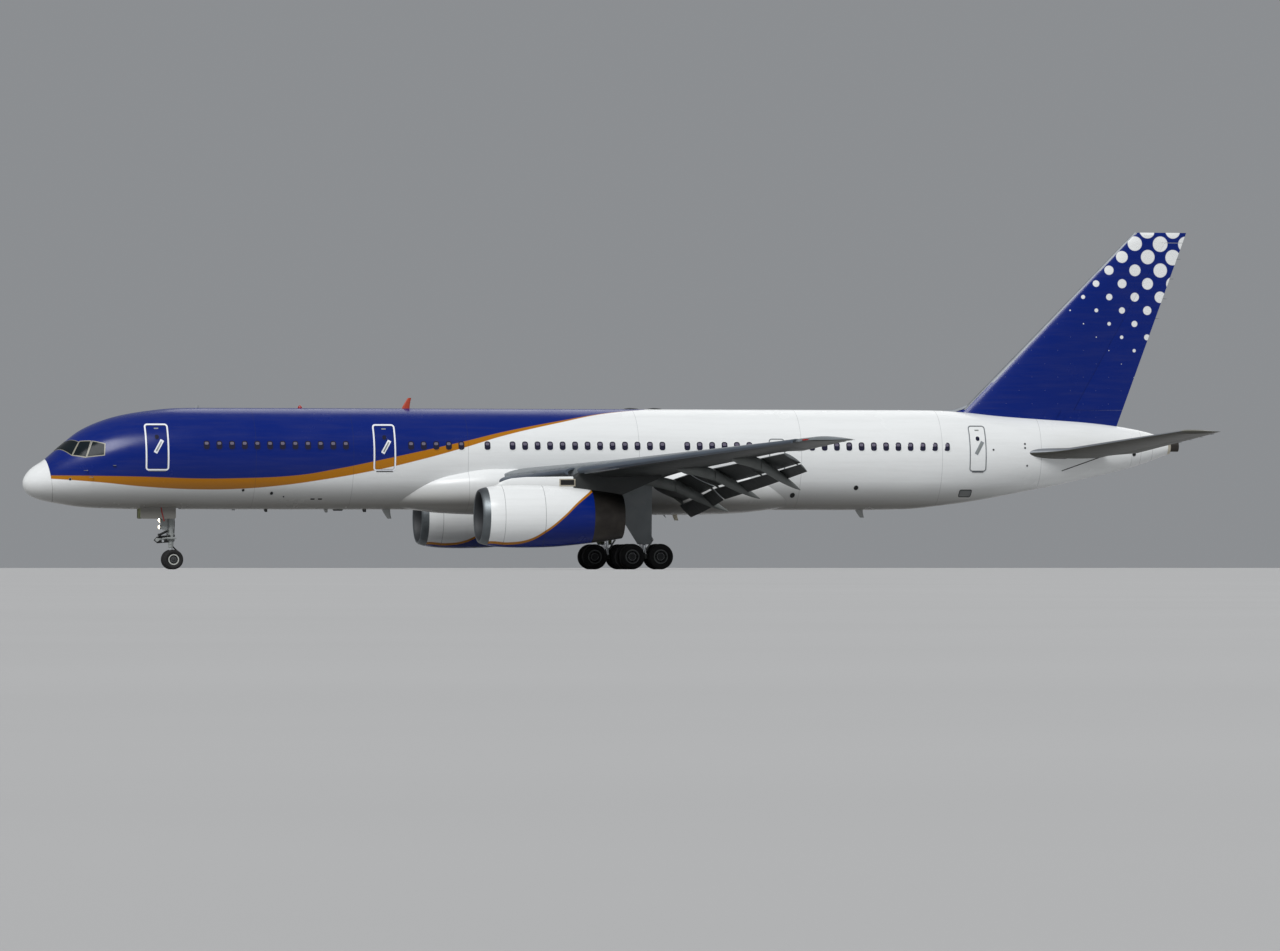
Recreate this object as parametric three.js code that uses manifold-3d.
// A narrow-body twin-jet airliner parked on its landing gear, as a 1:2 scale model.
// Sizes are the full-size aircraft's in millimetres, and the last group scales them down.
// X runs aft from the nose tip, Y to the aircraft's right, Z up from the ground.
import * as THREE from 'three';
import { mergeVertices } from 'three/addons/utils/BufferGeometryUtils.js';
import Module from 'manifold-3d';

const wasm = await Module();
wasm.setup();

// Driving dimensions
const MODEL_SCALE = 0.5;
const OVERALL_LENGTH = 47320;
const CENTRE_Z = 4500; // the upper fuselage circle's centre above the ground
const SEAM = 0.6; // gap between pieces that touch
const RUNNING_GAP = 16; // gap between a moving surface and the fixed one
const ENGINE = { y: 6480, z: 2080 };
const NOSE_GEAR = { x: 5900, axleX: 5950, wheelRadius: 393.5, halfTrack: 305, tyreHalf: 165 };
const MAIN_GEAR = { x: 24200, y: 3660, wheelRadius: 508, halfTrack: 432, tyreHalf: 184, halfBase: 571.5 };
const TYRE_FACETS = 24;
const flatRadius = (radius, facets) => radius * Math.cos(Math.PI / facets);
const NOSE_AXLE_Z = flatRadius(NOSE_GEAR.wheelRadius, TYRE_FACETS);
const MAIN_AXLE_Z = flatRadius(MAIN_GEAR.wheelRadius, TYRE_FACETS);

// Finishes
const finish = (color, roughness, metalness) =>
  new THREE.MeshStandardMaterial({ color, roughness, metalness });
const FINISH = {
  blue: () => finish('#1f4fa8', 0.3, 0.1),
  white: () => finish('#e9ecef', 0.35, 0.05),
  grey: () => finish('#a9b0b6', 0.45, 0.1),
  darkGrey: () => finish('#5d6468', 0.5, 0.2),
  metal: () => finish('#b9bcc0', 0.3, 0.9),
  darkMetal: () => finish('#4c4a48', 0.4, 0.8),
  rubber: () => finish('#1b1c1e', 0.9, 0),
  glass: () => finish('#15191f', 0.08, 0),
};

// Solids from three.js geometry, and back
function toSolid(geometry) {
  const bare = geometry.clone();
  bare.deleteAttribute('normal');
  bare.deleteAttribute('uv');
  const merged = mergeVertices(bare, 0.02);
  const positions = merged.attributes.position.array;
  const kept = [];
  let volume = 0;
  const corner = (i) => new THREE.Vector3().fromArray(positions, 3 * i);
  for (let i = 0; i < merged.index.count; i += 3) {
    const [a, b, c] = merged.index.array.slice(i, i + 3);
    if (a === b || b === c || c === a) continue;
    kept.push([a, b, c]);
    volume += corner(a).dot(corner(b).cross(corner(c)));
  }
  const triangles = kept.flatMap(([a, b, c]) => (volume > 0 ? [a, b, c] : [a, c, b]));
  return new wasm.Manifold(new wasm.Mesh({
    numProp: 3,
    vertProperties: new Float32Array(positions),
    triVerts: new Uint32Array(triangles),
  }));
}

function toGeometry(solid) {
  const mesh = solid.getMesh();
  const geometry = new THREE.BufferGeometry();
  geometry.setAttribute('position', new THREE.BufferAttribute(new Float32Array(mesh.vertProperties), 3));
  geometry.setIndex(new THREE.BufferAttribute(new Uint32Array(mesh.triVerts), 1));
  geometry.computeVertexNormals();
  return geometry;
}

const union = (solids) => solids.reduce((sum, solid) => sum.add(solid));
const biggest = (solid) => solid.decompose().sort((a, b) => b.volume() - a.volume())[0];

// The flat end of a loft, cut into triangles in the plane that shows most of it.
function capTriangles(ring) {
  const normal = new THREE.Vector3();
  ring.forEach((p, i) => normal.add(p.clone().cross(ring[(i + 1) % ring.length])));
  const size = normal.clone().set(Math.abs(normal.x), Math.abs(normal.y), Math.abs(normal.z));
  if (size.length() < 1) return [];
  const alongX = size.x >= size.y && size.x >= size.z;
  const [u, v] = alongX ? ['y', 'z'] : size.y >= size.z ? ['z', 'x'] : ['x', 'y'];
  const flat = ring.map((p) => new THREE.Vector2(p[u], p[v]));
  const turn = Math.sign(THREE.ShapeUtils.area(flat));
  return THREE.ShapeUtils.triangulateShape(flat, []).map(([a, b, c]) => {
    const sign = Math.sign(THREE.ShapeUtils.area([flat[a], flat[b], flat[c]]));
    return sign === turn ? [a, b, c] : [a, c, b];
  });
}

// A closed solid through rings that have the same number of points. The strips in crossed are cut
// along their other diagonal, so that both sides of a thin twisted blade bend the same way.
function loft(rings, crossed = []) {
  const count = rings[0].length;
  const triangles = [];
  for (let r = 0; r + 1 < rings.length; r += 1) {
    for (let i = 0; i < count; i += 1) {
      const a = r * count + i;
      const b = r * count + ((i + 1) % count);
      if (crossed.includes(i)) triangles.push([a, b, a + count], [b, b + count, a + count]);
      else triangles.push([a, b, b + count], [a, b + count, a + count]);
    }
  }
  const last = (rings.length - 1) * count;
  capTriangles(rings[0]).forEach(([a, b, c]) => triangles.push([a, c, b]));
  capTriangles(rings[rings.length - 1]).forEach(([a, b, c]) => triangles.push([last + a, last + b, last + c]));
  const geometry = new THREE.BufferGeometry().setFromPoints(rings.flat());
  geometry.setIndex(triangles.flat());
  return toSolid(geometry);
}

const box = (x0, x1, y0, y1, z0, z1) => {
  const geometry = new THREE.BoxGeometry(x1 - x0, y1 - y0, z1 - z0);
  geometry.translate((x0 + x1) / 2, (y0 + y1) / 2, (z0 + z1) / 2);
  return toSolid(geometry);
};

// A round bar from one point to another.
function bar(from, to, radius, facets = 12, radiusTo = radius) {
  const along = to.clone().sub(from);
  const geometry = new THREE.CylinderGeometry(radiusTo, radius, along.length(), facets);
  geometry.translate(0, along.length() / 2, 0);
  const turn = new THREE.Quaternion().setFromUnitVectors(new THREE.Vector3(0, 1, 0), along.normalize());
  geometry.applyQuaternion(turn);
  geometry.translate(from.x, from.y, from.z);
  return toSolid(geometry);
}

const at = (x, y, z) => new THREE.Vector3(x, y, z);

// A side-view outline of x, z points, as a plate between two y planes.
function sidePlate(outline, y0, y1) {
  const shape = new THREE.Shape(outline.map(([x, z]) => new THREE.Vector2(x, z)));
  const geometry = new THREE.ExtrudeGeometry(shape, { depth: y1 - y0, bevelEnabled: false });
  geometry.rotateX(Math.PI / 2); // x, y, depth becomes x, -depth, y
  geometry.translate(0, y1, 0);
  return toSolid(geometry);
}

// A profile of distance along the axis and radius, turned about X or Y.
function turned(profile, facets, axis, phase = 0) {
  const points = profile.map(([along, radius]) => new THREE.Vector2(radius, along));
  const geometry = new THREE.LatheGeometry(points, facets, phase);
  if (axis === 'x') geometry.rotateZ(-Math.PI / 2);
  return toSolid(geometry);
}

// Fuselage
// x, top, bottom, height of the widest line (all from the centreline), half width
const FUSELAGE = [
  [0, -1100, -1100, -1100, 0],
  [80, -830, -1400, -1100, 260],
  [350, -510, -1640, -1070, 550],
  [770, -235, -1790, -1000, 840],
  [1500, 380, -1930, -850, 1180],
  [2230, 950, -2040, -650, 1430],
  [2960, 1300, -2090, -480, 1610],
  [3690, 1530, -2110, -330, 1730],
  [4420, 1680, -2130, -200, 1800],
  [5150, 1780, -2130, -100, 1850],
  [6000, 1860, -2130, -40, 1875],
  [7000, 1880, -2130, 0, 1880],
  [33000, 1880, -2130, 0, 1880],
  [35700, 1880, -2090, 0, 1800],
  [36900, 1870, -1970, 20, 1730],
  [38100, 1800, -1820, 40, 1620],
  [39400, 1690, -1600, 80, 1460],
  [40550, 1610, -1380, 130, 1290],
  [41800, 1520, -1140, 200, 1100],
  [43000, 1420, -870, 280, 950],
  [44300, 1270, -590, 350, 730],
  [45400, 1080, -280, 420, 560],
  [46600, 750, 150, 460, 300],
];
const FUSELAGE_FACETS = 28;
const JOINTS_AT = { radome: 1000, radomeLean: 130, nose: 9000, middle: 31000, aft: 44900 };

function fuselageSection(x) {
  const next = Math.max(1, FUSELAGE.findIndex((row) => row[0] >= x));
  const [before, after] = [FUSELAGE[next - 1], FUSELAGE[next]];
  const share = (x - before[0]) / (after[0] - before[0]);
  return before.map((value, i) => value + share * (after[i] - value));
}

// A ring round the fuselage, grown outwards, its foot leaning aft of its top by twice the lean.
function fuselageRing(x, grow = 0, lean = 0) {
  return Array.from({ length: FUSELAGE_FACETS }, (_, i) => {
    const angle = (2 * Math.PI * i) / FUSELAGE_FACETS;
    const [ringX, top, bottom, middle, half] = fuselageSection(x - lean * Math.cos(angle));
    const reach = (Math.cos(angle) >= 0 ? top - middle : middle - bottom) + grow;
    return at(ringX, (half + grow) * Math.sin(angle), CENTRE_Z + middle + reach * Math.cos(angle));
  });
}

function fuselageBetween(from, to, grow = 0, leanFrom = 0, leanTo = 0) {
  const inner = FUSELAGE.map((row) => row[0]).filter((x) => x > from + leanFrom + 1 && x < to - leanTo - 1);
  return loft([
    fuselageRing(from, grow, leanFrom),
    ...inner.map((x) => fuselageRing(x, grow)),
    fuselageRing(to, grow, leanTo),
  ]);
}

const TAIL_END = FUSELAGE[FUSELAGE.length - 1][0];
const grownFuselage = fuselageBetween(7000, TAIL_END, SEAM);

// Windscreen band, seen from the side, inlaid in the nose
const SCREEN_DEPTH = 50;
const SCREEN_OUTLINE = [
  [1150, 60], [1800, -20], [2300, -90], [3040, -20], [3060, 430], [2550, 530], [1600, 500],
];
function screenBand(shrink, depth) {
  const centre = [2000, 190];
  const outline = SCREEN_OUTLINE.map(([x, z]) => [
    centre[0] + (x - centre[0]) * shrink,
    CENTRE_Z + centre[1] + (z - centre[1]) * shrink,
  ]);
  const prism = sidePlate(outline, -2000, 2000);
  return prism.subtract(fuselageBetween(JOINTS_AT.radome - 600, 4420, -depth));
}
const noseLoft = fuselageBetween(JOINTS_AT.radome + SEAM, JOINTS_AT.nose - SEAM, 0, JOINTS_AT.radomeLean, 0);
const windscreen = biggest(noseLoft.intersect(screenBand(0.997, SCREEN_DEPTH)));

// Nose gear bay, open downwards
const BAY = { x0: 4600, x1: 6250, half: 400, roof: 2970 };
const bay = box(BAY.x0, BAY.x1, -BAY.half, BAY.half, 0, BAY.roof);
const noseJackPad = bar(at(8400, 0, 2420), at(8400, 0, 2330), 70, 12);
const fuselageNose = noseLoft.subtract(screenBand(1, SCREEN_DEPTH + SEAM)).subtract(bay).add(noseJackPad);

const radome = fuselageBetween(0, JOINTS_AT.radome, 0, 0, JOINTS_AT.radomeLean);
const fuselageMiddle = fuselageBetween(JOINTS_AT.nose, JOINTS_AT.middle - SEAM);
const fuselageAft = fuselageBetween(JOINTS_AT.middle, JOINTS_AT.aft - SEAM);
const exhaustPipe = turned(
  [[46560, 0], [46560, 215], [46960, 215], [46960, 195], [46700, 195], [46700, 0]], 16, 'x');
const tailCone = fuselageBetween(JOINTS_AT.aft, TAIL_END).add(exhaustPipe.translate(0, 0, CENTRE_Z + 450));

// Belly fairing
// x, half width, top, bottom, from the centreline
const FAIRING = [
  [14600, 900, -1000, -2000],
  [15600, 1500, -700, -2140],
  [16800, 1980, -450, -2270],
  [18600, 2250, -250, -2330],
  [26600, 2250, -250, -2330],
  [28600, 1980, -450, -2270],
  [29900, 1500, -700, -2140],
  [30900, 900, -1000, -2000],
];
const FAIRING_SQUARENESS = 0.75; // power of the sine and cosine: 1 is an ellipse, less is boxier
const fairingRing = ([x, half, top, bottom], grow) => Array.from({ length: 28 }, (_, i) => {
  const angle = (2 * Math.PI * i) / 28;
  const bend = (value) => Math.sign(value) * Math.abs(value) ** FAIRING_SQUARENESS;
  const middle = CENTRE_Z + (top + bottom) / 2;
  const rise = ((top - bottom) / 2 + grow) * bend(Math.cos(angle));
  return at(x, (half + grow) * bend(Math.sin(angle)), middle + rise);
});
const fairingLoft = (grow) => loft(FAIRING.map((row) => fairingRing(row, grow)));
const bellyFairing = biggest(fairingLoft(0).subtract(grownFuselage));
const grownBody = grownFuselage.add(fairingLoft(SEAM));

// Aerofoil sections: half thickness and camber as shares of the chord
const halfThickness = (u, ratio) => 5 * ratio
  * (0.2969 * Math.sqrt(u) - 0.126 * u - 0.3516 * u ** 2 + 0.2843 * u ** 3 - 0.1036 * u ** 4);
const CAMBER = 0.015;
const camber = (u) => CAMBER * (1 - (2 * u - 1) ** 2);

// Wing, right side: y is the distance out from the centreline
const WING = { root: 1500, kink: 7000, tip: 19025, apexX: 17500, leadSlope: 0.522, innerTrailX: 26500,
  tipTrailX: 29160, planeZ: 3300, dihedral: 0.0875 };
const leadX = (y) => WING.apexX + WING.leadSlope * y;
const trailX = (y) => (y <= WING.kink ? WING.innerTrailX
  : THREE.MathUtils.mapLinear(y, WING.kink, WING.tip, WING.innerTrailX, WING.tipTrailX));
const chord = (y) => trailX(y) - leadX(y);
const planeZ = (y) => WING.planeZ + WING.dihedral * y;
const thickRatio = (y) => THREE.MathUtils.mapLinear(y, WING.root, WING.tip, 0.13, 0.104);
const wingPoint = (y, u, side) => at(
  leadX(y) + u * chord(y), y, planeZ(y) + chord(y) * (camber(u) + side * halfThickness(u, thickRatio(y))));

// A streamwise ring from one share of the chord to another.
const BOX_SHARES = [0, 0.03, 0.1, 0.22, 0.4, 0.62, 1];
function wingRing(y, from, to, grow = 0) {
  const share = (s) => from + (to - from) * s;
  const upper = BOX_SHARES.map((s) => wingPoint(y, share(s), 1).add(at(s === 1 ? grow : 0, 0, grow)));
  const lower = BOX_SHARES.map((s) => wingPoint(y, share(s), -1).add(at(s === 1 ? grow : 0, 0, -grow)));
  const nose = wingPoint(y, from, 0).add(at(-0.012 * chord(y) - grow, 0, 0));
  return [nose, ...upper, ...lower.reverse()];
}
const FIXED_FROM = 0.045;
const SPAR = 0.7;
const TIP_ROUND = 70;
const wingBox = (grow) => loft([WING.root, WING.kink, WING.tip - TIP_ROUND].map(
  (y) => wingRing(y, FIXED_FROM, SPAR, grow)));

// Trailing-edge layout, out from the centreline
const INNER_SLAT = { y0: 2480, y1: 6150 };
const OUTER_SLAT = { y0: 6850, y1: 18250 };
const INNER_FLAP = { y0: 2360, y1: 6940 };
const OUTER_FLAP = { y0: 7060, y1: 14350 };
const INNER_SPOILER = { y0: 2700, y1: 6500 };
const OUTER_SPOILER = { y0: 7500, y1: 13900 };
const AILERON = { y0: 14620, y1: 18280 };
const TIP_BLOCK = { y0: 18330 };
const AILERON_HINGE = 0.77;
const PIN_RADIUS = 22;
const PIN_FACETS = 10;
const boreRadius = (radius, facets) => (radius + SEAM + 0.1) / Math.cos(Math.PI / facets);
const LUG_RADIUS = 45;

// A surface hinged about a line: round nose on the hinge, straight sides to the trailing edge.
// Each end has its hinge point, nose radius, and distance and rise of the trailing edge.
// up is the direction of the thickness.
function hingedSurface(ends, up) {
  const along = ends[1].hinge.clone().sub(ends[0].hinge).normalize();
  const sweep = Math.sqrt(1 - along.x ** 2);
  const rings = ends.map(({ hinge, radius, length, rise }) => {
    const arc = [0, 1, 2, 3, 4, 5, 6].map((i) => Math.PI / 2 + (i * Math.PI) / 6);
    const nose = arc.map((angle) => hinge.clone()
      .add(at((radius / sweep) * Math.cos(angle), 0, 0))
      .addScaledVector(up, radius * Math.sin(angle)));
    const tail = [-1, 1].map((side) => hinge.clone()
      .add(at(length, 0, 0))
      .addScaledVector(up, rise + side * 6));
    return [...nose, ...tail];
  });
  return loft(rings);
}
// Pins that stand out of both ends of a hinged surface, along its hinge line.
function hingePins([a, b], reach, radius = PIN_RADIUS) {
  const along = b.clone().sub(a).normalize();
  return [
    bar(a.clone().addScaledVector(along, 40), a.clone().addScaledVector(along, -reach), radius, PIN_FACETS),
    bar(b.clone().addScaledVector(along, -40), b.clone().addScaledVector(along, reach), radius, PIN_FACETS),
  ];
}
// The hole that such a pin turns in.
const pinHole = ([a, b], radius = PIN_RADIUS) => {
  const along = b.clone().sub(a).normalize();
  return bar(a.clone().addScaledVector(along, -200), b.clone().addScaledVector(along, 200),
    boreRadius(radius, PIN_FACETS), PIN_FACETS);
};

// Spoilers lie on the flap shroud, hinged just behind the spar.
function spoilerHinge({ y0, y1 }) {
  return [y0, y1].map((y) => {
    const x = leadX(y) + SPAR * chord(y) + 55;
    const u = (x - leadX(y)) / chord(y);
    return wingPoint(y, u, 1).add(at(0, 0, -36));
  });
}
function spoiler(span) {
  const hinge = spoilerHinge(span);
  const ends = [span.y0, span.y1].map((y, i) => {
    const tail = wingPoint(y, 0.825, 1);
    return { hinge: hinge[i], radius: 36, length: tail.x - hinge[i].x, rise: tail.z - hinge[i].z - 8 };
  });
  return union([hingedSurface(ends, at(0, 0, 1)), ...hingePins(hinge, 62)]);
}
// A plate that reaches aft from the spar to carry a hinge pin, just off one end of a surface.
function hingeLug(hinge, end, side, gap, radius = LUG_RADIUS) {
  const point = hinge[end];
  const y0 = point.y + side * gap;
  const y1 = y0 + side * 40;
  const slope = (hinge[1].x - hinge[0].x) / (hinge[1].y - hinge[0].y);
  const rise = (hinge[1].z - hinge[0].z) / (hinge[1].y - hinge[0].y);
  const centre = at(point.x + slope * (y0 - point.y), 0, point.z + rise * (y0 - point.y));
  const outline = [
    [centre.x - 400, centre.z - radius], [centre.x, centre.z - radius], [centre.x + radius, centre.z],
    [centre.x, centre.z + radius * 0.8], [centre.x - 400, centre.z + radius * 0.8],
  ];
  return sidePlate(outline, Math.min(y0, y1), Math.max(y0, y1));
}

// Ailerons sit between the outer flap and the wing tip.
const aileronRadius = (y) => 0.9 * chord(y) * halfThickness(AILERON_HINGE, thickRatio(y));
const aileronHinge = [AILERON.y0, AILERON.y1].map((y) => wingPoint(y, AILERON_HINGE, 0));
function aileron() {
  const ends = [AILERON.y0, AILERON.y1].map((y, i) => ({
    hinge: aileronHinge[i],
    radius: aileronRadius(y),
    length: wingPoint(y, 1, 0).x - aileronHinge[i].x,
    rise: wingPoint(y, 1, 0).z - aileronHinge[i].z,
  }));
  return union([hingedSurface(ends, at(0, 0, 1)), ...hingePins(aileronHinge, 80)]);
}
// Fixed wing ahead of the aileron, up to the running gap before its nose.
function aileronShroud() {
  const rings = [OUTER_FLAP.y1 + 60, TIP_BLOCK.y0 + 30].map((y) => {
    const front = wingPoint(y, AILERON_HINGE, 0).x - 1.05 * aileronRadius(y) - RUNNING_GAP;
    return wingRing(y, 0.5, (front - leadX(y)) / chord(y));
  });
  return loft(rings);
}

// Flap track fairings: the front half is fixed to the wing, the rear half goes with the flap.
const CANOES = [5300, 9000, 12600];
const CANOE = { half: 170, deep: 230, from: 0.46, split: 0.775, dropSplit: 0.052, aft: 760, dropTip: 1330 };
function canoeRing(x, y, z, size) {
  return Array.from({ length: 8 }, (_, i) => {
    const angle = (2 * Math.PI * (i + 0.5)) / 8;
    return at(x, y + CANOE.half * size * Math.sin(angle), z + CANOE.deep * size * Math.cos(angle));
  });
}
function canoeLine(y) {
  const start = wingPoint(y, CANOE.from, -1);
  const low = wingPoint(y, 0.62, -1);
  const split = { x: leadX(y) + CANOE.split * chord(y), z: planeZ(y) - CANOE.dropSplit * chord(y) - 150 };
  const end = { x: trailX(y) + CANOE.aft, z: planeZ(y) - CANOE.dropTip * (y < WING.kink ? 1.12 : 1) };
  return { start, low, split, end };
}
function canoeFront(y) {
  const { start, low, split } = canoeLine(y);
  return loft([
    canoeRing(start.x, y, start.z, 0.12),
    canoeRing((start.x + low.x) / 2, y, (start.z + low.z) / 2 - 40, 0.75),
    canoeRing(low.x, y, low.z - 70, 1),
    canoeRing(split.x, y, split.z, 1),
  ]);
}
function canoeTail(y) {
  const { split, end } = canoeLine(y);
  const mid = (share, size) => canoeRing(
    split.x + share * (end.x - split.x), y, split.z + share * (end.z - split.z), size);
  return loft([canoeRing(split.x + SEAM, y, split.z, 1), mid(0.45, 0.9), mid(0.8, 0.5), mid(1, 0.1)]);
}

// Double-slotted flaps, lowered: shares of the local chord, angles in degrees
const FLAP_SHARES = [1, 0.55, 0.25, 0.08, 0, 0.08, 0.3, 0.6];
// y, main flap chord, aft flap chord, main angle, aft angle
const FLAP_TABLE = [
  [2360, 0.165, 0.085, 27, 48],
  [7000, 0.205, 0.11, 27, 46],
  [14350, 0.24, 0.125, 28, 46],
];
function flapRing(y, startX, startZ, length, angle) {
  const turn = THREE.MathUtils.degToRad(angle);
  return FLAP_SHARES.map((share, i) => {
    const side = i < 4 ? 1 : -1;
    const edge = share === 1 ? 0.004 : 0;
    const half = i === 4 ? 0 : halfThickness(share, 0.15) * (side > 0 ? 1.2 : 0.7) + edge;
    const x = share * length;
    const z = side * half * length;
    const aft = x * Math.cos(turn) + z * Math.sin(turn);
    return at(startX + aft, y, startZ - x * Math.sin(turn) + z * Math.cos(turn));
  });
}
function flapRow(y) {
  const next = Math.max(1, FLAP_TABLE.findIndex((row) => row[0] >= y));
  const [a, b] = [FLAP_TABLE[next - 1], FLAP_TABLE[next]];
  const share = (y - a[0]) / (b[0] - a[0]);
  return a.map((value, i) => value + share * (b[i] - value));
}
const FLAP_START = { u: 0.79, drop: 0.03 };
function flapRings(y) {
  const [, mainShare, aftShare, mainAngle, aftAngle] = flapRow(y);
  const c = chord(y);
  const startX = leadX(y) + FLAP_START.u * c;
  const startZ = planeZ(y) - FLAP_START.drop * c;
  const turn = THREE.MathUtils.degToRad(mainAngle);
  const endX = startX + mainShare * c * Math.cos(turn);
  const endZ = startZ - mainShare * c * Math.sin(turn);
  return {
    main: flapRing(y, startX, startZ, mainShare * c, mainAngle),
    aft: flapRing(y, endX - 0.008 * c, endZ - 0.018 * c, aftShare * c, aftAngle),
  };
}
function flap({ y0, y1 }) {
  const stations = [y0, y1].map(flapRings);
  const canoes = CANOES.filter((y) => y > y0 && y < y1).map(canoeTail);
  const ribs = [y0 + 250, (y0 + y1) / 2 + 300, y1 - 250].map((y) => {
    const { main, aft } = flapRings(y);
    const outline = [main[1], main[0], aft[2], aft[4], main[6]].map((p) => [p.x, p.z - 5]);
    return sidePlate(outline, y - 15, y + 15);
  });
  return union([loft(stations.map((s) => s.main)), loft(stations.map((s) => s.aft)), ...ribs, ...canoes]);
}

// Slats, run out: a crescent ahead of the fixed nose. Shares of the slat chord.
const SLAT_SECTION = [
  [1, 0.44], [0.68, 0.42], [0.35, 0.32], [0.12, 0.17], [0, 0], [0.04, -0.12], [0.26, -0.2], [0.3, -0.12],
  [0.24, 0.02], [0.36, 0.17], [0.62, 0.32],
];
const SLAT_TURN = THREE.MathUtils.degToRad(14);
const slatChord = (y) => THREE.MathUtils.mapLinear(y, WING.root, WING.tip, 660, 330);
function slatRing(y) {
  const size = slatChord(y);
  const nose = wingPoint(y, FIXED_FROM, 0);
  return SLAT_SECTION.map(([a, b]) => {
    const x = a * size;
    const z = b * size;
    return at(
      nose.x - 0.8 * size + x * Math.cos(SLAT_TURN) + z * Math.sin(SLAT_TURN), y,
      nose.z - 0.02 * size - x * Math.sin(SLAT_TURN) + z * Math.cos(SLAT_TURN));
  });
}
function slat({ y0, y1 }, tracks, wingSolid) {
  const arms = Array.from({ length: tracks }, (_, i) => {
    const y = THREE.MathUtils.lerp(y0, y1, (i + 0.5) / tracks);
    const nose = wingPoint(y, FIXED_FROM, 0);
    return box(nose.x - 0.62 * slatChord(y), nose.x + 150, y - 20, y + 20, nose.z - 25, nose.z + 25);
  });
  const kink = y0 < WING.kink && y1 > WING.kink ? [WING.kink] : [];
  return biggest(union([loft([y0, ...kink, y1].map(slatRing)), ...arms]).subtract(wingSolid));
}

// The fixed wing with its tip, hinge lugs and track fairings
const TIP_SHARES = { from: 0.02, to: 0.995 };
function wing() {
  const tipBlock = loft([
    wingRing(TIP_BLOCK.y0, TIP_SHARES.from, TIP_SHARES.to),
    wingRing(WING.tip - TIP_ROUND, TIP_SHARES.from, TIP_SHARES.to),
    wingRing(WING.tip, 0.12, 0.9).map((p) => at(p.x, p.y, planeZ(p.y) + 0.45 * (p.z - planeZ(p.y)))),
  ]);
  const innerHinge = spoilerHinge(INNER_SPOILER);
  const outerHinge = spoilerHinge(OUTER_SPOILER);
  const lugs = [innerHinge, outerHinge].flatMap((hinge) => [
    hingeLug(hinge, 0, -1, RUNNING_GAP),
    hingeLug(hinge, 1, 1, RUNNING_GAP),
  ]);
  const aileronLug = hingeLug(aileronHinge, 0, -1, RUNNING_GAP, LUG_RADIUS);
  const pad = bar(at(23300, 4700, 3600), at(23300, 4700, 3395), 90, 12);
  const canoes = CANOES.map(canoeFront);
  const body = union([wingBox(0), tipBlock, aileronShroud(), ...lugs, aileronLug, pad, ...canoes]);
  return biggest(body
    .subtract(grownBody)
    .subtract(pinHole(innerHinge))
    .subtract(pinHole(outerHinge))
    .subtract(pinHole(aileronHinge)));
}

const rightWing = wing();
const grownWing = wingBox(SEAM);
const wingPieces = {
  wing: rightWing,
  slat_inboard: slat(INNER_SLAT, 3, grownWing),
  slat_outboard: slat(OUTER_SLAT, 6, grownWing),
  flap_inboard: flap(INNER_FLAP),
  flap_outboard: flap(OUTER_FLAP),
  spoiler_inboard: spoiler(INNER_SPOILER),
  spoiler_outboard: spoiler(OUTER_SPOILER),
  aileron: aileron(),
};

// Fin and rudder: z from the centreline
const FIN = { baseZ: 900, tipZ: 9060, leadX: 38430, leadZ: 2290, leadSlope: 0.9926, trailX: 44430,
  trailZ: 1280, trailSlope: 0.3715, ratio: 0.1, hinge: 0.69 };
const finLead = (z) => FIN.leadX + (z - FIN.leadZ) * FIN.leadSlope;
const finTrail = (z) => FIN.trailX + (z - FIN.trailZ) * FIN.trailSlope;
const TAIL_SHARES = [0, 0.04, 0.14, 0.3, 0.55, 0.8, 1];
// A ring across the fin or stabiliser, between two shares of its chord.
function tailRing(lead, trail, from, to, ratio, place) {
  const size = trail - lead;
  const shares = TAIL_SHARES.map((s) => from + (to - from) * s);
  const right = shares.map((u) => place(lead + u * size, size * halfThickness(u, ratio)));
  const left = shares.map((u) => place(lead + u * size, -size * halfThickness(u, ratio)));
  return from === 0 ? [...right, ...left.slice(1).reverse()] : [...right, ...left.reverse()];
}
const finRing = (z, from, to) => tailRing(
  finLead(z), finTrail(z), from, to, FIN.ratio, (x, side) => at(x, side, CENTRE_Z + z));
const finHingePoint = (z) => at(finLead(z) + FIN.hinge * (finTrail(z) - finLead(z)), 0, CENTRE_Z + z);
const RUDDER = { z0: 1900, z1: 8640 };
const RUDDER_CAP = { z0: 8730 };
const finRadius = (z) => 0.92 * (finTrail(z) - finLead(z)) * halfThickness(FIN.hinge, FIN.ratio);
const rudderHinge = [finHingePoint(RUDDER.z0), finHingePoint(RUDDER.z1)];
const [rudderFoot, rudderTop] = rudderHinge;
const rudderSweep = Math.cos(Math.atan2(rudderTop.x - rudderFoot.x, rudderTop.z - rudderFoot.z));
function rudder() {
  const ends = [RUDDER.z0, RUDDER.z1].map((z, i) => ({
    hinge: rudderHinge[i],
    radius: finRadius(z),
    length: finTrail(z) - rudderHinge[i].x,
    rise: 0,
  }));
  return union([hingedSurface(ends, at(0, 1, 0)), ...hingePins(rudderHinge, 140, 30)]);
}
function finSparShare(z) {
  const front = finHingePoint(z).x - (finRadius(z) + RUNNING_GAP) / rudderSweep;
  return (front - finLead(z)) / (finTrail(z) - finLead(z));
}
const rudderTurnsIn = grownFuselage; // the fin and its foot end on the fuselage skin
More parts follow.
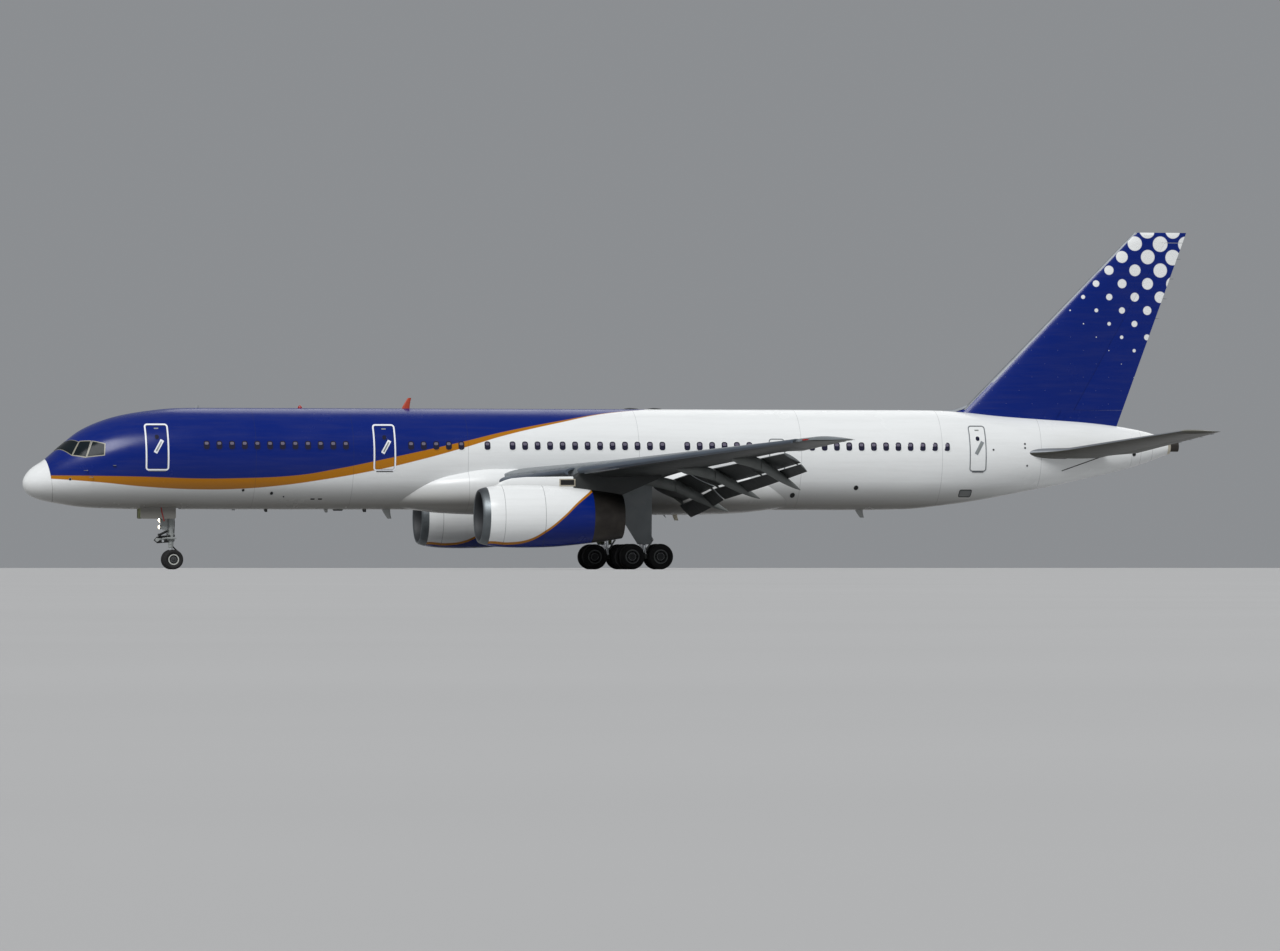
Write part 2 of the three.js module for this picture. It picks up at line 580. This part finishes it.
function fin() {
  const main = loft([FIN.baseZ, RUDDER_CAP.z0 + 10].map((z) => finRing(z, 0, finSparShare(z))));
  const cap = loft([
    finRing(RUDDER_CAP.z0, 0, 1), finRing(FIN.tipZ - 90, 0, 1),
    finRing(FIN.tipZ, 0.1, 1).slice(0, 13).map((p) => at(p.x, 0.4 * p.y, p.z)),
  ]);
  const foot = loft([FIN.baseZ, RUDDER.z0 - 90].map((z) => finRing(z, 0.5, 0.98)));
  const dorsal = loft([
    [36900, 60, 1700], [37300, 60, 1860], [38000, 90, 2010],
    [38500, 120, 2270], [38900, 150, 2620], [39300, 170, 2900],
  ].map(([x, half, top]) => [
    at(x, -half, CENTRE_Z + 1200), at(x, half, CENTRE_Z + 1200), at(x, half, CENTRE_Z + top - 200),
    at(x, 0, CENTRE_Z + top), at(x, -half, CENTRE_Z + top - 200),
  ]));
  return biggest(union([main, cap, foot, dorsal]).subtract(rudderTurnsIn).subtract(pinHole(rudderHinge, 30)));
}

// Stabiliser and elevator, right side
const STAB = { root: 500, tip: 7605, leadX: 40570, leadSlope: 0.588, trailX: 44545, trailSlope: 0.2835, z: 0,
  dihedral: 0.125, ratio: 0.1, hinge: 0.7 };
const stabLead = (y) => STAB.leadX + STAB.leadSlope * y;
const stabTrail = (y) => STAB.trailX + STAB.trailSlope * y;
const stabZ = (y) => CENTRE_Z + STAB.z + STAB.dihedral * y;
const stabRing = (y, from, to) => tailRing(
  stabLead(y), stabTrail(y), from, to, STAB.ratio, (x, side) => at(x, y, stabZ(y) + side));
const stabHingePoint = (y) => at(stabLead(y) + STAB.hinge * (stabTrail(y) - stabLead(y)), y, stabZ(y));
const stabRadius = (y) => 0.92 * (stabTrail(y) - stabLead(y)) * halfThickness(STAB.hinge, STAB.ratio);
const ELEVATOR = { y0: 1350, y1: 7180 };
const ELEVATOR_CAP = { y0: 7250 };
const elevatorHinge = [stabHingePoint(ELEVATOR.y0), stabHingePoint(ELEVATOR.y1)];
function elevator() {
  const ends = [ELEVATOR.y0, ELEVATOR.y1].map((y, i) => ({
    hinge: elevatorHinge[i],
    radius: stabRadius(y),
    length: stabTrail(y) - elevatorHinge[i].x,
    rise: 0,
  }));
  return union([hingedSurface(ends, at(0, 0, 1)), ...hingePins(elevatorHinge, 90)]);
}
function stabiliser() {
  const sparShare = (y) => (stabHingePoint(y).x - 1.1 * stabRadius(y) - RUNNING_GAP - stabLead(y))
    / (stabTrail(y) - stabLead(y));
  const main = loft([STAB.root, ELEVATOR_CAP.y0 + 10].map((y) => stabRing(y, 0, sparShare(y))));
  const cap = loft([
    stabRing(ELEVATOR_CAP.y0, 0, 1), stabRing(STAB.tip - 60, 0, 1),
    stabRing(STAB.tip, 0.1, 1).slice(0, 13).map((p) => at(p.x, p.y, stabZ(p.y) + 0.4 * (p.z - stabZ(p.y)))),
  ]);
  const lug = hingeLug(elevatorHinge, 0, -1, RUNNING_GAP, 55);
  return biggest(union([main, cap, lug]).subtract(grownFuselage).subtract(pinHole(elevatorHinge)));
}

// Engines: profiles of distance aft and radius about the engine's axis
const COWL_FACETS = 24;
const LIP_BACK = 17300;
const COWL_END = 21450;
const LIP = [
  [LIP_BACK, 1133], [17130, 1090], [17035, 1045], [17000, 1005], [17035, 958], [17140, 922], [LIP_BACK, 905],
];
const COWL_OUTER = [
  [LIP_BACK, 1133], [17750, 1200], [18700, 1230], [19800, 1205], [20700, 1135], [COWL_END, 1050],
];
const COWL_INNER = [
  [COWL_END, 985], [20600, 1000], [19300, 950], [17950, 950], [17600, 902], [LIP_BACK, 905],
];
const NOZZLE = [[COWL_END, 1050], [22100, 965], [22700, 870], [22700, 835], [22050, 905], [COWL_END, 985]];
const VANES = 8;
const FAN = { blades: 18, tip: 918, root: 270, x0: 18000, x1: 18300 };
const placed = (solid) => solid.translate(0, ENGINE.y, ENGINE.z);
const closed = (profile) => [...profile, profile[0]];
const shifted = (profile, dx) => profile.map(([x, r]) => [x === COWL_END || x === LIP_BACK ? x + dx : x, r]);
function fan() {
  const hub = turned(
    [[17680, 0], [17800, 130], [17980, 240], [18330, 290], [18330, 65], [18110, 65], [18110, 0]], 16, 'x');
  const blade = (turn) => {
    const outline = [[-1, -0.05], [1, -0.03], [1, 0.03], [-1, 0.05]];
    const section = (radius, size, stagger) => outline.map(([a, b]) => {
      const x = size * (a * Math.cos(stagger) - b * Math.sin(stagger));
      const y = size * (a * Math.sin(stagger) + b * Math.cos(stagger));
      return at(18150 + x, y, radius).applyAxisAngle(at(1, 0, 0), turn);
    });
    return loft([section(FAN.root - 40, 130, 0.5), section(600, 145, 0.8), section(FAN.tip, 160, 1.1)], [2]);
  };
  const blades = Array.from({ length: FAN.blades }, (_, i) => blade((2 * Math.PI * i) / FAN.blades));
  return union([hub, ...blades]);
}
function engineCore() {
  const shaft = turned([[18140, 0], [18140, 62], [18420, 62], [18420, 0]], 16, 'x');
  const body = turned([
    [18370, 0], [18370, 290], [19000, 400], [20200, 520], [21000, 440], [21600, 260], [22050, 90], [22050, 0],
  ], 16, 'x');
  const facet = Math.PI / COWL_FACETS; // half a facet, so that a vane's tip lies on a flat
  const vanes = Array.from({ length: VANES }, (_, i) => {
    const vane = toSolid(new THREE.BoxGeometry(260, 24, 620));
    const reach = flatRadius(950, COWL_FACETS) - SEAM;
    const turn = THREE.MathUtils.radToDeg(facet) + (i * 360) / VANES;
    return vane.translate(18850, 0, reach - 310).rotate(turn, 0, 0);
  });
  return union([shaft, body, ...vanes]);
}
const nacelleSkin = [...LIP.slice(0, 4).reverse(), ...COWL_OUTER.slice(1), ...NOZZLE.slice(1, 3)];
const nacelleSolid = turned(
  [[17000, 0], ...nacelleSkin.map(([x, r]) => [x, r + SEAM]), [22700, 0]], COWL_FACETS, 'x');
const PYLON = {
  half: 200,
  outline: [[17580, 3150], [17850, 3400], [18330, 3560], [18900, 3610], [20750, 3630], [21150, 3900],
    [24300, 3900], [24300, 3600], [22700, 3060], [21500, 2700], [17580, 2700]],
};
const pylon = biggest(sidePlate(PYLON.outline, ENGINE.y - PYLON.half, ENGINE.y + PYLON.half)
  .subtract(placed(nacelleSolid)).subtract(grownWing));
const cowlProfile = [...COWL_OUTER, ...COWL_INNER.slice(0, -1), [LIP_BACK, 905]];
const enginePieces = {
  inlet_lip: placed(turned(closed(shifted(LIP, -SEAM)), COWL_FACETS, 'x')),
  nacelle: placed(turned(closed(cowlProfile), COWL_FACETS, 'x')),
  fan: placed(fan()),
  engine_core: placed(engineCore()),
  exhaust_nozzle: placed(turned(closed(shifted(NOZZLE, SEAM)), COWL_FACETS, 'x')),
  pylon,
};

// Wheels: two tyres and rims on one axle, turned about Y
function wheelPair({ wheelRadius, halfTrack, tyreHalf }, rimRadius, axleRadius, hubReach) {
  const sidewall = 0.4 * rimRadius + 0.6 * wheelRadius;
  const tyre = [[-0.62, rimRadius], [-1, sidewall], [-0.62, wheelRadius], [0.62, wheelRadius], [1, sidewall],
    [0.62, rimRadius]];
  const half = [
    [halfTrack + hubReach * tyreHalf, 0],
    [halfTrack + hubReach * tyreHalf, 0.36 * rimRadius],
    [halfTrack + 0.3 * tyreHalf, rimRadius - 22],
    ...[...tyre].reverse().map(([share, r]) => [halfTrack + share * tyreHalf, r]),
    [halfTrack - 0.5 * tyreHalf, axleRadius],
  ];
  const other = [...half].reverse().map(([y, r]) => [-y, r]);
  return turned([...half, ...other], TYRE_FACETS, 'y', Math.PI / TYRE_FACETS);
}
const AXLE_RADIUS = { nose: 45, main: 55 };
const BORE_FACETS = 12;
const noseWheels = wheelPair(NOSE_GEAR, 200, AXLE_RADIUS.nose, 0.55)
  .translate(NOSE_GEAR.axleX, 0, NOSE_AXLE_Z);
const mainWheels = (x) => wheelPair(MAIN_GEAR, 270, AXLE_RADIUS.main, 0.6)
  .translate(x, MAIN_GEAR.y, MAIN_AXLE_Z);

// Nose gear
const COLLAR_Z = 980;
const PISTON = { radius: 64, top: 1240 };
const noseLeg = union([
  bar(at(NOSE_GEAR.x, 0, COLLAR_Z), at(NOSE_GEAR.x, 0, BAY.roof - SEAM), 105, 12),
  bar(at(NOSE_GEAR.x, 0, 1150), at(NOSE_GEAR.x, 0, 1420), 150, 12),
  bar(at(NOSE_GEAR.x, 0, 2250), at(5000, 0, BAY.roof - 90), 60, 10),
  box(4940, 5060, -180, 180, BAY.roof - 160, BAY.roof - SEAM),
  box(NOSE_GEAR.x - 200, NOSE_GEAR.x, -30, 30, 1700, 1760),
  bar(at(NOSE_GEAR.x - 240, 0, 1730), at(NOSE_GEAR.x - 160, 0, 1730), 90, 12),
  bar(at(NOSE_GEAR.x - 240, 0, 2020), at(NOSE_GEAR.x - 90, 0, 2020), 90, 12),
]).subtract(bar(at(NOSE_GEAR.x, 0, COLLAR_Z - 10), at(NOSE_GEAR.x, 0, PISTON.top + SEAM),
  boreRadius(PISTON.radius, 16), 16));
const noseFork = union([
  bar(at(NOSE_GEAR.x, 0, NOSE_AXLE_Z), at(NOSE_GEAR.x, 0, PISTON.top), PISTON.radius, 16),
  bar(at(NOSE_GEAR.axleX, -118, NOSE_AXLE_Z), at(NOSE_GEAR.axleX, 118, NOSE_AXLE_Z), 88, 12),
  bar(at(NOSE_GEAR.x, 0, COLLAR_Z - 130), at(NOSE_GEAR.x, 0, COLLAR_Z - SEAM), 100, 12),
  sidePlate([
    [NOSE_GEAR.x, COLLAR_Z - 100], [6140, 720], [NOSE_GEAR.axleX, 420], [6190, 720], [NOSE_GEAR.x, COLLAR_Z - 40],
  ], -45, 45),
  box(5760, NOSE_GEAR.x, -45, 45, NOSE_AXLE_Z - 30, NOSE_AXLE_Z + 30),
]).subtract(bar(at(NOSE_GEAR.axleX, -200, NOSE_AXLE_Z), at(NOSE_GEAR.axleX, 200, NOSE_AXLE_Z),
  boreRadius(AXLE_RADIUS.nose, BORE_FACETS), BORE_FACETS));
const NOSE_DOOR = { y: 430, thick: 30 };
const noseDoor = biggest(sidePlate([[4620, 2050], [6030, 1990], [6030, 2700], [4620, 2700]],
  NOSE_DOOR.y, NOSE_DOOR.y + NOSE_DOOR.thick).subtract(fuselageBetween(3000, 8000, SEAM)));

// Main gear, right side
const BEAM = { half: 92, top: MAIN_AXLE_Z + 96, reach: 690 };
const mainAxle = (side, half, radius, facets) => bar(
  at(MAIN_GEAR.x + side * MAIN_GEAR.halfBase, MAIN_GEAR.y - half, MAIN_AXLE_Z),
  at(MAIN_GEAR.x + side * MAIN_GEAR.halfBase, MAIN_GEAR.y + half, MAIN_AXLE_Z), radius, facets);
const bogieBeam = union([
  box(MAIN_GEAR.x - BEAM.reach, MAIN_GEAR.x + BEAM.reach, MAIN_GEAR.y - BEAM.half, MAIN_GEAR.y + BEAM.half,
    MAIN_AXLE_Z - 85, BEAM.top),
  ...[-1, 1].map((side) => mainAxle(side, 230, 120, 12)),
]).subtract(union([-1, 1].map((side) =>
  mainAxle(side, 300, boreRadius(AXLE_RADIUS.main, BORE_FACETS), BORE_FACETS))));
const mainLeg = biggest(union([
  bar(at(MAIN_GEAR.x, MAIN_GEAR.y, BEAM.top + SEAM), at(MAIN_GEAR.x, MAIN_GEAR.y, 1600), 95, 16),
  bar(at(MAIN_GEAR.x, MAIN_GEAR.y, 1560), at(MAIN_GEAR.x, MAIN_GEAR.y, 3600), 150, 16),
  bar(at(MAIN_GEAR.x, MAIN_GEAR.y, 2050), at(MAIN_GEAR.x, 1900, 2950), 75, 10),
  bar(at(MAIN_GEAR.x - 40, MAIN_GEAR.y, 2250), at(22900, MAIN_GEAR.y, 3500), 70, 10),
  sidePlate([[MAIN_GEAR.x, 1620], [24560, 1180], [MAIN_GEAR.x, 720], [24500, 1180]],
    MAIN_GEAR.y - 50, MAIN_GEAR.y + 50),
]).subtract(grownBody).subtract(grownWing));
const DOOR_Y = 3850;
const strutSleeve = bar(
  at(MAIN_GEAR.x, MAIN_GEAR.y, 1500), at(MAIN_GEAR.x, MAIN_GEAR.y, 3700), 150 + SEAM, 16);
const mainDoor = biggest(union([
  sidePlate([[23250, 3360], [24500, 3360], [24470, 980], [23910, 980], [23250, 2000]], DOOR_Y, DOOR_Y + 36),
  ...[1750, 2700].map((z) =>
    box(MAIN_GEAR.x - 60, MAIN_GEAR.x + 60, MAIN_GEAR.y + 100, DOOR_Y + 10, z - 40, z + 40)),
]).subtract(strutSleeve).subtract(grownWing));

// The assembly
const aircraft = new THREE.Group();
function add(name, solid, material) {
  const mesh = new THREE.Mesh(toGeometry(solid), material);
  mesh.name = name;
  aircraft.add(mesh);
}
function addPair(name, solid, material) {
  add(`${name}_left`, solid.mirror([0, 1, 0]), material());
  add(`${name}_right`, solid, material());
}

add('radome', radome, FINISH.white());
add('fuselage_nose', fuselageNose, FINISH.blue());
add('windscreen', windscreen, FINISH.glass());
add('fuselage_middle', fuselageMiddle, FINISH.white());
add('fuselage_aft', fuselageAft, FINISH.white());
add('tail_cone', tailCone, FINISH.metal());
add('belly_fairing', bellyFairing, FINISH.grey());
const WING_FINISH = { wing: 'grey', slat_inboard: 'darkGrey', slat_outboard: 'darkGrey', flap_inboard: 'grey',
  flap_outboard: 'grey', spoiler_inboard: 'grey', spoiler_outboard: 'grey', aileron: 'grey' };
Object.entries(wingPieces).forEach(([name, solid]) => addPair(name, solid, FINISH[WING_FINISH[name]]));
add('fin', fin(), FINISH.blue());
add('rudder', rudder(), FINISH.blue());
addPair('stabiliser', stabiliser(), FINISH.grey);
addPair('elevator', elevator(), FINISH.grey);
const ENGINE_FINISH = { inlet_lip: 'metal', nacelle: 'blue', fan: 'darkMetal', engine_core: 'darkMetal',
  exhaust_nozzle: 'darkMetal', pylon: 'white' };
Object.entries(enginePieces).forEach(([name, solid]) => addPair(name, solid, FINISH[ENGINE_FINISH[name]]));
add('nose_gear_leg', noseLeg, FINISH.white());
add('nose_gear_fork', noseFork, FINISH.metal());
add('nose_wheels', noseWheels, FINISH.rubber());
addPair('nose_gear_door', noseDoor, FINISH.white);
addPair('main_gear_leg', mainLeg, FINISH.metal);
addPair('bogie_beam', bogieBeam, FINISH.darkGrey);
addPair('main_wheels_front', mainWheels(MAIN_GEAR.x - MAIN_GEAR.halfBase), FINISH.rubber);
addPair('main_wheels_rear', mainWheels(MAIN_GEAR.x + MAIN_GEAR.halfBase), FINISH.rubber);
addPair('main_gear_door', mainDoor, FINISH.white);

aircraft.scale.setScalar(MODEL_SCALE);
aircraft.position.x = (-OVERALL_LENGTH / 2) * MODEL_SCALE;
const airliner = new THREE.Group();
airliner.add(aircraft);

// Hinge lines of the right side and the middle, full size, for the record of the joints
export const hingeLines = {
  spoiler_inboard: spoilerHinge(INNER_SPOILER),
  spoiler_outboard: spoilerHinge(OUTER_SPOILER),
  aileron: aileronHinge,
  elevator: elevatorHinge,
  rudder: rudderHinge,
};

export default airliner;
